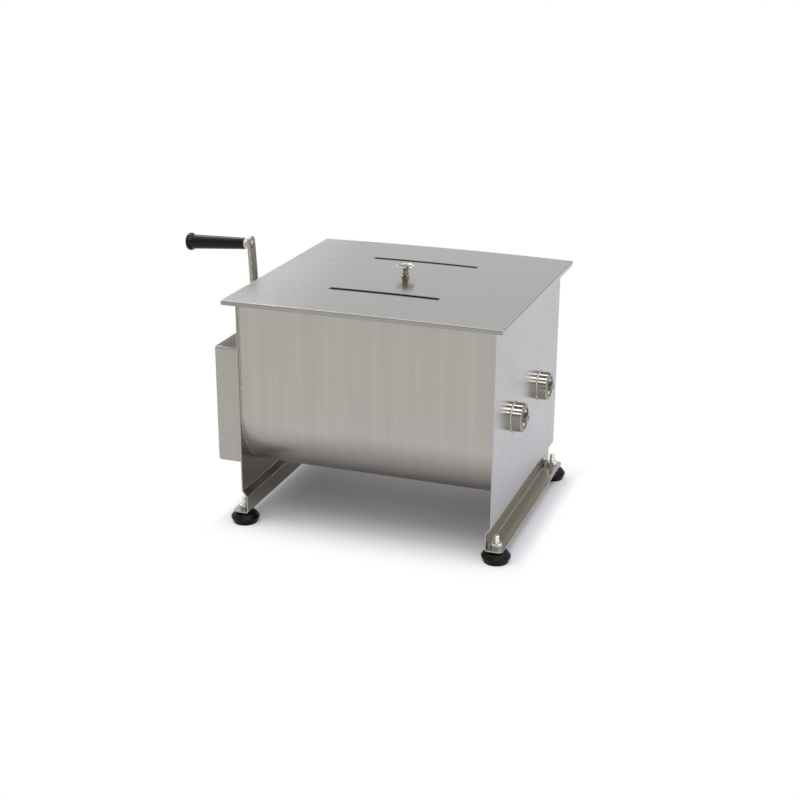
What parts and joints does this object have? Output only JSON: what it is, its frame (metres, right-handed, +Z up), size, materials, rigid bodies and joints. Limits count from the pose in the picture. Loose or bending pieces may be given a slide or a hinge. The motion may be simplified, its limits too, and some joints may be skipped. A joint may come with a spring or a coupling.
{
  "type": "manual meat mixer",
  "caption": "Hand-cranked stainless steel meat mixer: rectangular tub with a lift-off lid, geared twin paddle shafts, end gear cover, crank with black grip, levelling feet.",
  "frame": {"origin": "on the floor, under the centre of the whole footprint, crank grip included", "axes": "+Z up, -Y towards the front wall of the tub, -X towards the crank and gear cover, shafts along X"},
  "size_m": [0.6721, 0.457, 0.4647],
  "materials": {
    "sheet_steel": "brushed stainless sheet",
    "turned_steel": "turned and polished stainless steel",
    "bar_steel": "ground stainless bar",
    "blade_steel": "brushed stainless plate",
    "gear_steel": "machined gear steel, lightly oiled",
    "zinc_steel": "bright zinc plated steel",
    "knob_nickel": "nickel plated brass",
    "bronze": "bearing bronze",
    "seal_rubber": "black seal rubber",
    "foot_plastic": "black matte plastic",
    "grip_plastic": "glossy black plastic"
  },
  "bodies": {
    "base": {"bearing_housing_left_front": "turned_steel", "bearing_housing_left_rear": "turned_steel", "bearing_housing_right_front": "turned_steel", "bearing_housing_right_rear": "turned_steel", "bush_left_front": "bronze", "bush_left_rear": "bronze", "bush_right_front": "bronze", "bush_right_rear": "bronze", "cover_posts": "turned_steel", "cover_screws": "turned_steel", "crank_bush_inner": "bronze", "crank_bush_outer": "bronze", "crank_housing": "turned_steel", "foot_nuts": "zinc_steel", "foot_pad_front_left": "foot_plastic", "foot_pad_front_right": "foot_plastic", "foot_pad_rear_left": "foot_plastic", "foot_pad_rear_right": "foot_plastic", "foot_studs": "zinc_steel", "gear_cover": "sheet_steel", "shaft_seals": "seal_rubber", "side_panel_left": "sheet_steel", "side_panel_right": "sheet_steel", "tub_shell": "sheet_steel"},
    "lid": {"knob_nut": "turned_steel", "knob_screw": "turned_steel", "lid_knob": "knob_nickel", "lid_panel": "sheet_steel"},
    "front_shaft": {"drive_gear_front": "gear_steel", "gear_key_front": "gear_steel", "gear_nut_front": "turned_steel", "paddle_front_1": "blade_steel", "paddle_front_2": "blade_steel", "paddle_front_3": "blade_steel", "paddle_front_4": "blade_steel", "paddle_front_5": "blade_steel", "paddle_pins_front": "turned_steel", "paddle_shaft_front": "turned_steel", "shaft_nut_front": "turned_steel", "shaft_washer_front": "turned_steel"},
    "rear_shaft": {"drive_gear_rear": "gear_steel", "gear_key_rear": "gear_steel", "gear_nut_rear": "turned_steel", "paddle_pins_rear": "turned_steel", "paddle_rear_1": "blade_steel", "paddle_rear_2": "blade_steel", "paddle_rear_3": "blade_steel", "paddle_rear_4": "blade_steel", "paddle_shaft_rear": "turned_steel", "shaft_nut_rear": "turned_steel", "shaft_washer_rear": "turned_steel"},
    "crank": {"crank_arm": "bar_steel", "crank_nut": "turned_steel", "crank_shaft": "turned_steel", "drive_pinion": "gear_steel", "grip_bolt": "turned_steel", "grip_nut": "zinc_steel", "pinion_key": "gear_steel"},
    "grip": {"grip_handle": "grip_plastic"}
  },
  "joints": [
    {"name": "front_shaft_spin", "type": "hinge", "parent": "base", "child": "front_shaft", "pos_m": [0.08206, -0.084, 0.219], "axis": [1, 0, 0], "continuous": true},
    {"name": "rear_shaft_spin", "type": "hinge", "parent": "base", "child": "rear_shaft", "pos_m": [0.08206, 0.084, 0.219], "axis": [1, 0, 0], "continuous": true},
    {"name": "crank_spin", "type": "hinge", "parent": "base", "child": "crank", "pos_m": [0.08206, 0, 0.282], "axis": [1, 0, 0], "continuous": true},
    {"name": "grip_spin", "type": "hinge", "parent": "crank", "child": "grip", "pos_m": [-0.21002, 0, 0.4509], "axis": [-0.9987, 0, -0.0515], "continuous": true},
    {"name": "lid_lift", "type": "slide", "parent": "base", "child": "lid", "axis": [0, 0, 1], "range_m": [0, 0.25]}
  ],
  "couplings": [
    {"joint": "rear_shaft_spin", "follows": "front_shaft_spin", "ratio": 1},
    {"joint": "crank_spin", "follows": "front_shaft_spin", "ratio": -2.8889}
  ]
}
